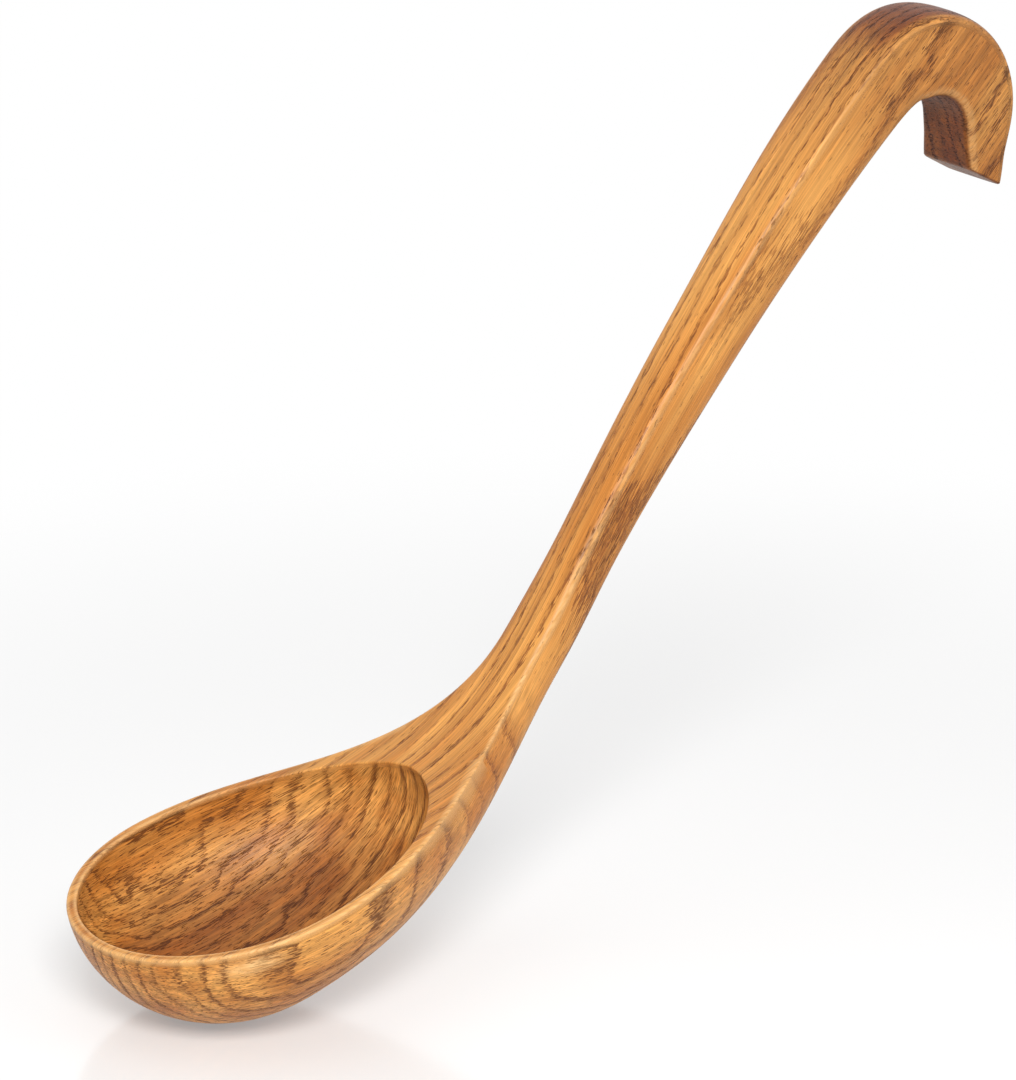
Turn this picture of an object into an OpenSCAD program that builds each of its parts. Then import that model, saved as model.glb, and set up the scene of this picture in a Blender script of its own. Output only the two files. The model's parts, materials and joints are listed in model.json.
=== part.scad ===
// Soup ladle carved from one plank of teak: a round bowl, a rising neck, a slim handle that
// widens towards its top, and a hook for hanging it. Millimetres, Z up. The ladle stands on
// the lowest point of its bowl at z = 0, with the handle going up towards +X, and it is the
// same on both sides of the plane y = 0. The wood is one piece. Its bowl, handle and hook are
// stretches of it that meet on flat sections, so that each has a simple shape of its own.

/* [Bowl] */
// Width of the bowl over its rim
bowl_w = 87.4; // [70:0.2:110]
// Length from the widest place of the bowl to its front tip
tip_len = 44.2; // [36:0.2:56]
// Depth of the bowl outside, from the rim down to the lowest point
bowl_depth = 36; // [28:0.5:46]
// How far in front of the widest place the bowl is deepest
low_ahead = 6; // [0:0.5:12]
// Width of the flat rim
rim_w = 2.8; // [2:0.1:5]
// Wood left under the hollow at its deepest place
floor_t = 4; // [3:0.1:8]
// Length of the hollow behind the widest place
hollow_back = 60; // [48:0.5:66]
// Angle of the rim to the table
rim_tilt = 13.3; // [0:0.1:25]

/* [Neck] */
// Where the top line starts to rise, behind the widest place of the bowl
rise_start = 20.5; // [10:0.5:30]
// Mean radius of the rise from the bowl to the handle
neck_r = 151; // [120:1:200]
// Angle that the neck rises through
neck_angle = 43.2; // [30:0.2:55]
// Where the sides of the neck stop drawing in
neck_side_at = 107; // [90:1:125]
// Width of the neck there
neck_w = 16.2; // [13:0.2:24]
// Where the underside of the neck stops drawing in
neck_under_at = 100; // [85:1:120]
// Thickness of the neck there
neck_t = 13.8; // [11:0.2:20]

/* [Handle] */
// Length of the slim stretch of the handle
slim_len = 64; // [40:1:110]
// Angle that the slim stretch bows back through
slim_bow = 4.8; // [0:0.2:10]
// Least width of the handle
slim_w = 13.7; // [11:0.1:20]
// Where the handle is narrowest, along the top line from the widest place of the bowl
slim_at = 140; // [130:1:160]
// Length of the stretch that thickens towards the hook
shoulder_len = 82; // [50:1:120]
// Angle that this stretch bows back through
shoulder_bow = 7; // [0:0.2:15]
// Width where the handle starts to thicken
shoulder_w = 15.7; // [12:0.1:24]
// Thickness where the handle starts to thicken
shoulder_t = 18.4; // [14:0.2:26]
// Height of the rounded top face over the side ridges on the slim stretch
slim_crown = 3; // [1:0.1:4]
// Height of the rounded top face over the side ridges at the shoulder and the hook
hook_crown = 2.3; // [1:0.1:4]

/* [Hook] */
// Least radius of the hook's top line
hook_r = 28.9; // [25:0.1:38]
// Angle that the hook turns through
hook_angle = 150.2; // [130:0.2:160]
// Length over which the top line tightens into the hook's curve
hook_in = 20; // [4:1:40]
// Length over which the curve eases into the straight leg
hook_out = 10; // [4:1:30]
// Width of the hook
hook_w = 20.8; // [16:0.2:30]
// Thickness of the handle where the hook starts
hook_t = 21.1; // [18:0.1:24]
// Extra thickness of the wood at the crown, before the seat is cut
crown_more = 6.5; // [6:0.1:9]
// Radius of the seat bored through the hook, which hangs on a rail or a pot rim
seat_r = 10.6; // [8:0.1:12.5]
// Wood over the seat, under the highest place of the hook
crown_wall = 23.3; // [18:0.1:28]
// How far the seat's centre is ahead of that place
seat_ahead = 0.8; // [-2:0.1:3]
// Angle that the slot's far side leans away from the seat
slot_lean = 5; // [0:0.5:10]
// Length of the leg beyond the curve of the hook
leg_len = 10.9; // [8:0.1:20]
// Thickness of the leg where the curve ends, before the slot is cut
leg_t = 19; // [16:0.2:22]
// Thickness of the leg at its end, before the slot is cut
end_t = 15; // [12:0.1:19]
// Width of the leg at its end
end_w = 21.8; // [16:0.2:30]
// Angle of the leg's end cut away from square, which makes the inner side shorter
end_slant = 14; // [0:0.5:25]

/* [Hidden] */

// How boxy the sections are: 2 is an ellipse and more is squarer
round_form = 2;
box_form = 4.1;
hook_form = 7;
top_form = 2.6;
hollow_back_form = 1.8;
hollow_form = 2.15;

// Numbers of points along the rim's back and front, over and under a section, and of rings
rim_back_n = 14;
rim_front_n = 10;
over_n = 10;
under_n = 18;
hollow_n = 11;
skin_n = 11;
// Steps of the rings from the outer edge of the rim to the edge of the hollow
rim_steps = [0.08, 0.3, 0.65, 1];
// Step along the top line, and between sections on the neck, the handle and the hook
track_step = 0.5;
neck_step = 5;
handle_step = 8;
hook_step = 3.6;

bowl_r = bowl_w / 2;
hollow_r = bowl_r - rim_w;
hollow_front = tip_len - rim_w;
hollow_depth = bowl_depth - floor_t;

// Places along the top line, measured from the widest place of the bowl
neck_len = neck_angle * PI / 180 * neck_r;
rise_end = rise_start + neck_len;
shoulder_at = rise_end + slim_len;
hook_at = shoulder_at + shoulder_len;
hook_end = hook_at + (hook_in + hook_out) / 2 + hook_angle * PI / 180 * hook_r;
leg_end = hook_end + leg_len;
// The top line's angle to the table where the hook starts, and the hook's highest place
hook_rise = neck_angle - slim_bow - shoulder_bow + rim_tilt;
level_at = hook_at + hook_in / 2 + hook_rise * PI / 180 * hook_r;
// The bowl ends a little behind the hollow, and the handle ends just before the hook's seat
join_at = hollow_back + 12;
hook_from = hook_at - 12;
// Behind here the flat rim starts to turn into the rounded top face
crown_at = hollow_back - 8;
// The hook's body runs on past the leg's end, and the end cut takes this off
end_spare = 4;

function ease(t) = let (u = min(1, max(0, t))) (1 - cos(180 * u)) / 2;

// Smooth curve through [place, value] knots that never overshoots them
function knot_slope(k, i) =
    i <= 0 || i >= len(k) - 1 ? 0 :
    let (a = (k[i][1] - k[i - 1][1]) / (k[i][0] - k[i - 1][0]))
    let (b = (k[i + 1][1] - k[i][1]) / (k[i + 1][0] - k[i][0]))
    a * b <= 0 ? 0 : 2 * a * b / (a + b);
function knot_span(k, s, i = 0) =
    i >= len(k) - 2 || s < k[i + 1][0] ? i : knot_span(k, s, i + 1);
function along(k, place) =
    let (s = min(k[len(k) - 1][0], max(k[0][0], place)))
    let (i = knot_span(k, s))
    let (h = k[i + 1][0] - k[i][0])
    let (t = (s - k[i][0]) / h)
    k[i][1] * (1 + 2 * t) * pow(1 - t, 2) + k[i + 1][1] * t * t * (3 - 2 * t)
    + knot_slope(k, i) * h * t * pow(1 - t, 2) - knot_slope(k, i + 1) * h * t * t * (1 - t);

// Degrees that the top line turns through in each millimetre
function turn_rate(s) =
    s > rise_start && s < rise_end
        ? neck_angle / neck_len * (1 - cos(360 * (s - rise_start) / neck_len)) :
    s >= rise_end && s < shoulder_at ? -slim_bow / slim_len :
    s >= shoulder_at && s < hook_at
        ? -2 * shoulder_bow / shoulder_len * (s - shoulder_at) / shoulder_len :
    s >= hook_at && s < hook_end
        ? -180 / PI / hook_r * ease((s - hook_at) / hook_in) * ease((hook_end - s) / hook_out) :
    0;

// The top line in the middle plane as [x, z, angle], before the rim is tilted
track_n = ceil((leg_end + end_spare + tip_len) / track_step) + 1;
track = [
    for (
        i = 0, a = 0, x = -tip_len, z = 0;
        i <= track_n;
        turn = turn_rate((i + 0.5) * track_step - tip_len) * track_step,
        x = x + track_step * cos(a + turn / 2),
        z = z + track_step * sin(a + turn / 2),
        a = a + turn,
        i = i + 1
    ) [x, z, a]
];
function track_at(s) =
    let (u = min(track_n - 1, max(0, (s + tip_len) / track_step)))
    let (i = floor(u))
    track[i] + (track[i + 1] - track[i]) * (u - i);

// Point at a place along the top line, a distance to the side and a depth below it
function lay(s, y, down) =
    let (t = track_at(s))
    [t[0] + down * sin(t[2]), y, t[1] - down * cos(t[2])];

// Tilts the rim to its angle to the table
function tilted(p) = [
    p[0] * cos(rim_tilt) - p[2] * sin(rim_tilt), p[1], p[0] * sin(rim_tilt) + p[2] * cos(rim_tilt)
];

// Centre of the seat with the rim tilted, and the wood between the top line and the slot
seat_mid = tilted(lay(level_at, 0, 0)) + [seat_ahead, 0, -crown_wall - seat_r];
function slot_wall(s) =
    let (p = tilted(lay(s, 0, 0)) - seat_mid)
    (p[0] * cos(slot_lean) + p[2] * sin(slot_lean) - seat_r)
    / sin(slot_lean - rim_tilt - track_at(s)[2]);

// Thickness before the seat and its slot are cut, at the crown, the curve's end and the leg's
// end. The wood reaches at least seat_cut into them, so that they are cut at any radius.
seat_cut = 0.2;
crown_wood = max(hook_t + crown_more, crown_wall + seat_cut);
leg_wood = max(leg_t, slot_wall(hook_end) + seat_cut);
end_wood = max(end_t, slot_wall(leg_end) + seat_cut);

// Half width, thickness, rise of the top face and boxiness at a place along the top line
side_knots = [
    [neck_side_at, neck_w / 2], [slim_at, slim_w / 2], [shoulder_at, shoulder_w / 2],
    [hook_at, hook_w / 2], [hook_end, hook_w / 2], [leg_end, end_w / 2]
];
function half_w(s) =
    s < 0 ? bowl_r * sqrt(max(0, 1 - pow(s / tip_len, 2))) :
    s < neck_side_at ? bowl_r + (neck_w / 2 - bowl_r) * ease(s / neck_side_at) :
    along(side_knots, s);
thick_knots = [
    [neck_under_at, neck_t], [shoulder_at, shoulder_t], [hook_at, hook_t],
    [(hook_at + hook_end) / 2, crown_wood], [hook_end, leg_wood], [leg_end, end_wood]
];
function thick(s) =
    s < -low_ahead
        ? bowl_depth * sqrt(max(0, 1 - pow((s + low_ahead) / (tip_len - low_ahead), 2))) :
    s < neck_under_at
        ? bowl_depth + (neck_t - bowl_depth) * ease((s + low_ahead) / (neck_under_at + low_ahead)) :
    along(thick_knots, s);
crown_knots = [
    [crown_at, 0], [slim_at, slim_crown], [shoulder_at, hook_crown], [hook_end, hook_crown],
    [leg_end, hook_crown * 2 / 3]
];
function crown(s) = along(crown_knots, s);
function boxy(s) =
    round_form + (box_form - round_form) * ease(s / neck_side_at)
    + (hook_form - box_form) * ease((s - shoulder_at) / shoulder_len);

// How far the top face and the underside lie below the top line
function rounded(u, form) = pow(max(0, 1 - pow(min(1, abs(u)), form)), 1 / form);
function over(s, y) =
    let (w = half_w(s))
    w < 0.01 ? 0 : crown(s) * (1 - rounded(y / w, top_form));
function under(s, y) =
    let (w = half_w(s))
    w < 0.01 ? 0 : crown(s) + (thick(s) - crown(s)) * rounded(y / w, boxy(s));

// Outer edge of the rim seen from above, as [place, side], from the join's left to its right
rim_left = concat(
    [for (i = [0 : rim_back_n - 1]) let (s = join_at * (1 - i / rim_back_n)) [s, half_w(s)]],
    [
        for (i = [0 : rim_front_n])
        let (a = 90 * i / rim_front_n)
        [-tip_len * sin(a), i == rim_front_n ? 0 : bowl_r * cos(a)]
    ]
);
side_n = len(rim_left);
rim = concat(rim_left, [for (i = [side_n - 2 : -1 : 0]) [rim_left[i][0], -rim_left[i][1]]]);
rim_n = len(rim);

// Section at a place, as [side, depth], over from right to left and under from left to right
function signed_pow(v, e) = sign(v) * pow(abs(v), e);
function over_points(s) = [
    for (i = [0 : over_n])
    let (a = 180 - 180 * i / over_n)
    [
        half_w(s) * signed_pow(cos(a), 2 / top_form),
        crown(s) * (1 - pow(abs(sin(a)), 2 / top_form))
    ]
];
function under_points(s) = [
    for (i = [1 : under_n - 1])
    let (a = 180 * i / under_n)
    [
        half_w(s) * signed_pow(cos(a), 2 / boxy(s)),
        crown(s) + (thick(s) - crown(s)) * pow(abs(sin(a)), 2 / boxy(s))
    ]
];
join_over = [for (i = [1 : over_n - 1]) over_points(join_at)[i]];
join_under = [for (i = [under_n - 2 : -1 : 0]) under_points(join_at)[i]];

// Edge of the hollow at an angle that runs from the front tip round to the back
function hollow_edge(a) =
    let (c = cos(a))
    c >= 0 ? [-hollow_front * c, hollow_r * sin(a)] :
    [-hollow_back * c, sign(sin(a)) * hollow_r * rounded(c, hollow_back_form)];
// Half the angle of the hollow's back end that faces the join
back_angle = 14;
function rim_angle(i) =
    i < rim_back_n ? 180 - back_angle - (90 - back_angle) * i / rim_back_n :
    i < side_n ? 90 * (1 - (i - rim_back_n) / rim_front_n) :
    -rim_angle(rim_n - 1 - i);

// Top face: rings from the rim's outer edge to the hollow's edge, and on down to its floor
top_edge = concat(rim, [for (p = join_over) [join_at, p[0]]]);
top_n = len(top_edge);
top_inner = [
    for (i = [0 : top_n - 1])
    hollow_edge(i < rim_n ? rim_angle(i) : 180 + back_angle * (1 - 2 * (i - rim_n + 1) / over_n))
];
function rim_ring(t) = [
    for (i = [0 : top_n - 1])
    let (p = top_edge[i] + (top_inner[i] - top_edge[i]) * t)
    lay(p[0], p[1], over(p[0], p[1]))
];
hollow_low = [-low_ahead / 2, 0];
function hollow_ring(j) =
    let (reach = sin(90 * (1 - j / hollow_n)))
    [
        for (q = top_inner)
        let (p = hollow_low + (q - hollow_low) * reach)
        lay(p[0], p[1], over(q[0], q[1]) * reach + hollow_depth * rounded(reach, hollow_form))
    ];
top_rings = concat(
    [for (t = rim_steps) rim_ring(t)],
    [for (j = [1 : hollow_n - 1]) hollow_ring(j)]
);

// Outer face of the bowl: rings from the rim's outer edge and the join to the lowest point
low_edge = concat(rim, [for (p = join_under) [join_at, p[0]]]);
low_n = len(low_edge);
low_rings = [
    for (j = [1 : skin_n - 1])
    let (reach = sin(90 * (1 - j / skin_n)))
    [
        for (q = low_edge)
        let (p = [-low_ahead, 0] + (q - [-low_ahead, 0]) * reach)
        lay(p[0], p[1], under(p[0], p[1]))
    ]
];

// Sections of a stretch of the top line, over from right to left and under from left to right
section_n = over_n + under_n;
function steps(from, to, step) =
    let (n = ceil((to - from) / step))
    [for (i = [0 : n]) from + (to - from) * i / n];
function section(s) = [for (p = concat(over_points(s), under_points(s))) lay(s, p[0], p[1])];

// The bowl's points in one list, and where each group starts in it
bowl_points = concat(
    [for (p = rim) lay(p[0], p[1], over(p[0], p[1]))],
    [for (p = join_over) lay(join_at, p[0], p[1])],
    [for (p = join_under) lay(join_at, p[0], p[1])],
    [for (r = top_rings, p = r) p],
    [lay(hollow_low[0], 0, hollow_depth)],
    [for (r = low_rings, p = r) p],
    [lay(-low_ahead, 0, bowl_depth)]
);
top_start = top_n + under_n - 1;
top_pole = top_start + len(top_rings) * top_n;
low_start = top_pole + 1;
low_pole = low_start + len(low_rings) * low_n;
function top_id(r, i) = r == 0 ? i % top_n : top_start + (r - 1) * top_n + i % top_n;
function low_id(r, i) =
    let (k = i % low_n)
    r > 0 ? low_start + (r - 1) * low_n + k : k < rim_n ? k : k + over_n - 1;
function join_id(i) =
    i == 0 ? rim_n - 1 :
    i < over_n ? rim_n + i - 1 :
    i == over_n ? 0 : top_n + section_n - 1 - i;

function quad(a, b, c, d) = [[a, b, c], [a, c, d]];
bowl_faces = concat(
    [
        for (r = [0 : len(top_rings) - 1], i = [0 : top_n - 1])
        each quad(top_id(r, i), top_id(r + 1, i), top_id(r + 1, i + 1), top_id(r, i + 1))
    ],
    [for (i = [0 : top_n - 1]) [top_id(len(top_rings), i), top_pole, top_id(len(top_rings), i + 1)]],
    [
        for (r = [0 : len(low_rings) - 1], i = [0 : low_n - 1])
        each quad(low_id(r, i), low_id(r, i + 1), low_id(r + 1, i + 1), low_id(r + 1, i))
    ],
    [for (i = [0 : low_n - 1]) [low_id(len(low_rings), i), low_id(len(low_rings), i + 1), low_pole]],
    [[for (i = [0 : section_n - 1]) join_id(i)]]
);

// Faces of a stretch: quads between its sections, and a flat face at each end
function stretch_faces(n) = concat(
    [[for (i = [section_n - 1 : -1 : 0]) i]],
    [
        for (r = [0 : n - 2], i = [0 : section_n - 1])
        let (j = (i + 1) % section_n)
        each quad(
            r * section_n + i, r * section_n + j, (r + 1) * section_n + j, (r + 1) * section_n + i
        )
    ],
    [[for (i = [0 : section_n - 1]) (n - 1) * section_n + i]]
);
handle_places = concat(
    steps(join_at, slim_at - neck_step, neck_step),
    steps(slim_at, hook_from, handle_step)
);
hook_places = concat(
    steps(hook_from, hook_at - hook_step, hook_step),
    steps(hook_at, leg_end, hook_step),
    [leg_end + end_spare]
);

// Stands the bowl on z = 0 and centres the length on x = 0
all_points = [
    for (p = concat(bowl_points, [for (s = hook_places, q = section(s)) q])) tilted(p)
];
all_x = [for (p = all_points) p[0]];
shift = [-(min(all_x) + max(all_x)) / 2, 0, -min([for (p = all_points) p[2]])];
function stand(p) = tilted(p) + shift;

// Centre of the seat, the outer side of the leg's end, and the direction in which the leg runs
seat_at = seat_mid + shift;
end_at = stand(lay(leg_end, 0, 0));
end_dir = track_at(leg_end)[2] + rim_tilt;
cut_w = hook_w * 2;
slot_len = hook_r * 2;
teak = "#b8793c";

module stretch(places) {
    polyhedron(
        points = [for (s = places, p = section(s)) stand(p)],
        faces = stretch_faces(len(places)),
        convexity = 4
    );
}

// Bowl and the start of the neck, up to the flat section at join_at
module bowl() {
    color(teak)
        polyhedron(points = [for (p = bowl_points) stand(p)], faces = bowl_faces, convexity = 6);
}

// Neck and handle, from the bowl's flat section to the hook's
module handle() {
    color(teak)
        stretch(handle_places);
}

// A round seat across the hook, open downwards, whose far side runs straight down the leg
module seat_cut() {
    translate(seat_at) {
        rotate([90, 0, 0])
            cylinder(r = seat_r, h = cut_w, center = true, $fn = 96);
        rotate([0, -slot_lean, 0])
            translate([0, -cut_w / 2, -slot_len])
                cube([seat_r, cut_w, slot_len]);
    }
}

// Flat cut at the end of the leg
module end_cut() {
    translate(end_at)
        rotate([0, end_slant - end_dir, 0])
            translate([0, -cut_w / 2, -cut_w])
                cube([cut_w, cut_w, cut_w * 2]);
}

// Hook with its seat and leg
module hook() {
    color(teak)
        difference() {
            stretch(hook_places);
            seat_cut();
            end_cut();
        }
}

bowl();
handle();
hook();
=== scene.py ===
"""Looks of a wooden soup ladle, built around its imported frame.

The form's sizes are in millimetres, as a carver would give them, and every Blender object is in
metres in the frame's own axes: the handle rises towards +X and the bowl stands on z = 0.
"""

import json
import logging
import math
from collections.abc import Callable
from dataclasses import dataclass, field
from enum import Enum
from typing import Any

import bmesh
import bpy
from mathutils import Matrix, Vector


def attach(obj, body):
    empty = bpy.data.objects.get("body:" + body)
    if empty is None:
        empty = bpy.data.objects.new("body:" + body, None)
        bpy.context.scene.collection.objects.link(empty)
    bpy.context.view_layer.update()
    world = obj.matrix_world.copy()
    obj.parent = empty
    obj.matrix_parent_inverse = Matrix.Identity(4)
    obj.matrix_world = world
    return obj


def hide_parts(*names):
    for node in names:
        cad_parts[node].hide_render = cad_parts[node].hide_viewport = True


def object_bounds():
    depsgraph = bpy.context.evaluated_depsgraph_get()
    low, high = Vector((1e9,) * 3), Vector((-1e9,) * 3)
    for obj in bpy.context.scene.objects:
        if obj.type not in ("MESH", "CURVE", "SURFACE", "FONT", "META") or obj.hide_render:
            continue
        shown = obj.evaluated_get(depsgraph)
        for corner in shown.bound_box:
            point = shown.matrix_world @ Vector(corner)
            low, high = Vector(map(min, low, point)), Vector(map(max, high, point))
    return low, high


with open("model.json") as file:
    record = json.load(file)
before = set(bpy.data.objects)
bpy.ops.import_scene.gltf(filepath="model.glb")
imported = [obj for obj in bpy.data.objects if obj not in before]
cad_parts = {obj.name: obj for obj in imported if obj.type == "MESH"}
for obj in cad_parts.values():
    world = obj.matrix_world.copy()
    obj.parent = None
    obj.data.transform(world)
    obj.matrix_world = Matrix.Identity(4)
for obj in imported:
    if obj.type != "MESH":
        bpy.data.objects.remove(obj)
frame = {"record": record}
cad_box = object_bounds()

log = logging.getLogger("ladle")
MM = 0.001
TINY = 1e-6
Tree = bpy.types.NodeTree
Socket = bpy.types.NodeSocket
Points = list[tuple[float, float]]
Flow = Callable[[float, float, float], Vector]


class Mark(Enum):
    """What the mesh tells the finish about each point."""

    # Pale edges: painted highlight and wear
    WORN = "worn"
    # Painted shade
    SHELTERED = "sheltered"
    # A darker hook, with painted shade on the top of its crown
    HANDLED = "handled"
    CUT = "cut"
    PLANK = "plank"
    FLOW = "flow"


def linear(hex_colour: str) -> tuple[float, float, float, float]:
    """Turns an sRGB hex colour to linear light.

    Args:
        hex_colour: The colour as "#rrggbb".

    Returns:
        Red, green, blue and alpha for a shader socket.
    """
    values = [int(hex_colour[i : i + 2], 16) / 255 for i in (1, 3, 5)]
    red, green, blue = (v / 12.92 if v <= 0.04045 else ((v + 0.055) / 1.055) ** 2.4 for v in values)
    return (red, green, blue, 1.0)


def fresh_tree(owner: bpy.types.ID) -> Tree:
    """Empties the node tree of a material or world and returns it."""
    owner.use_nodes = True
    owner.node_tree.nodes.clear()
    return owner.node_tree


def add_node(
    tree: Tree, kind: str, inputs: dict[str | int, Any] | None = None, **settings: Any
) -> bpy.types.Node:
    """Adds a node with its settings and links.

    Args:
        tree: The node tree that gets the node.
        kind: The node's type, without the word that every shader node's type begins with.
        inputs: By the input's name or place: a value, a socket, or a node whose first output
            is linked.
        settings: Properties of the node.

    Returns:
        The new node.
    """
    node = tree.nodes.new("ShaderNode" + kind)
    for name, value in settings.items():
        setattr(node, name, value)
    for socket, value in (inputs or {}).items():
        if isinstance(value, bpy.types.Node):
            value = value.outputs[0]
        if isinstance(value, Socket):
            tree.links.new(value, node.inputs[socket])
        else:
            node.inputs[socket].default_value = value
    return node


def add_object(name: str, data: bpy.types.ID) -> bpy.types.Object:
    """Makes an object of a mesh, lamp or camera and links it to the scene."""
    made = bpy.data.objects.new(name, data)
    bpy.context.scene.collection.objects.link(made)
    return made


def ease(t: float) -> float:
    """A cosine ramp from 0 at t = 0 to 1 at t = 1."""
    return (1 - math.cos(math.pi * min(1.0, max(0.0, t)))) / 2


def rounded(u: float, form: float) -> float:
    """Height over the middle, from 1 at u = 0 to 0 at u = 1, of a superellipse of that form."""
    return max(0.0, 1 - min(1.0, abs(u)) ** form) ** (1 / form)


def signed_power(value: float, power: float) -> float:
    """A power of the size of a value, which keeps the value's sign."""
    return math.copysign(abs(value) ** power, value)


def soft_min(a: float, b: float, reach: float) -> float:
    """The smaller of two values, blended where they are within reach of each other."""
    h = max(0.0, reach - abs(a - b)) / reach
    return min(a, b) - h * h * reach / 4


def spaced(path: Points, count: int, bend: float) -> Points:
    """Points spread along a path, closer together where it bends.

    Args:
        path: The path's own points, close together.
        count: How many points to return, without the path's two ends.
        bend: Length that a bend of one radian counts for.

    Returns:
        The points.
    """
    runs = [0.0]
    for i in range(1, len(path)):
        step = math.dist(path[i - 1], path[i])
        turn = 0.0
        if i > 1 and step > TINY and math.dist(path[i - 2], path[i - 1]) > TINY:
            (x0, y0), (x1, y1), (x2, y2) = path[i - 2 : i + 1]
            turn = abs(math.atan2(y2 - y1, x2 - x1) - math.atan2(y1 - y0, x1 - x0))
            turn = min(turn, 2 * math.pi - turn)
        runs.append(runs[-1] + step + bend * turn)
    found = []
    i = 1
    for k in range(1, count + 1):
        target = runs[-1] * k / (count + 1)
        while runs[i] < target:
            i += 1
        share = (target - runs[i - 1]) / max(TINY, runs[i] - runs[i - 1])
        (x0, y0), (x1, y1) = path[i - 1], path[i]
        found.append((x0 + (x1 - x0) * share, y0 + (y1 - y0) * share))
    return found


@dataclass(frozen=True)
class Ramp:
    """A cosine ramp from 0 where it starts to its level where it ends."""

    start: float
    end: float
    level: float = 1.0

    def at(self, place: float) -> float:
        """The ramp's value at a place."""
        return self.level * ease((place - self.start) / (self.end - self.start))


@dataclass(frozen=True)
class Curve:
    """A smooth curve through knots of place and value that never overshoots them."""

    knots: tuple[tuple[float, float], ...]

    def slope(self, i: int) -> float:
        """Slope at a knot: 0 at the ends and where the curve turns back."""
        if i in (0, len(self.knots) - 1):
            return 0.0
        (x0, y0), (x1, y1), (x2, y2) = self.knots[i - 1 : i + 2]
        a = (y1 - y0) / (x1 - x0)
        b = (y2 - y1) / (x2 - x1)
        return 0.0 if a * b <= 0 else 2 * a * b / (a + b)

    def at(self, place: float) -> float:
        """The curve's value.

        Args:
            place: Where along the curve, held between its first and last knot.

        Returns:
            The value there.
        """
        x = min(self.knots[-1][0], max(self.knots[0][0], place))
        i = 0
        while i < len(self.knots) - 2 and x >= self.knots[i + 1][0]:
            i += 1
        (x0, y0), (x1, y1) = self.knots[i : i + 2]
        h = x1 - x0
        t = (x - x0) / h
        return (
            y0 * (1 + 2 * t) * (1 - t) ** 2
            + y1 * t * t * (3 - 2 * t)
            + self.slope(i) * h * t * (1 - t) ** 2
            - self.slope(i + 1) * h * t * t * (1 - t)
        )


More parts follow.
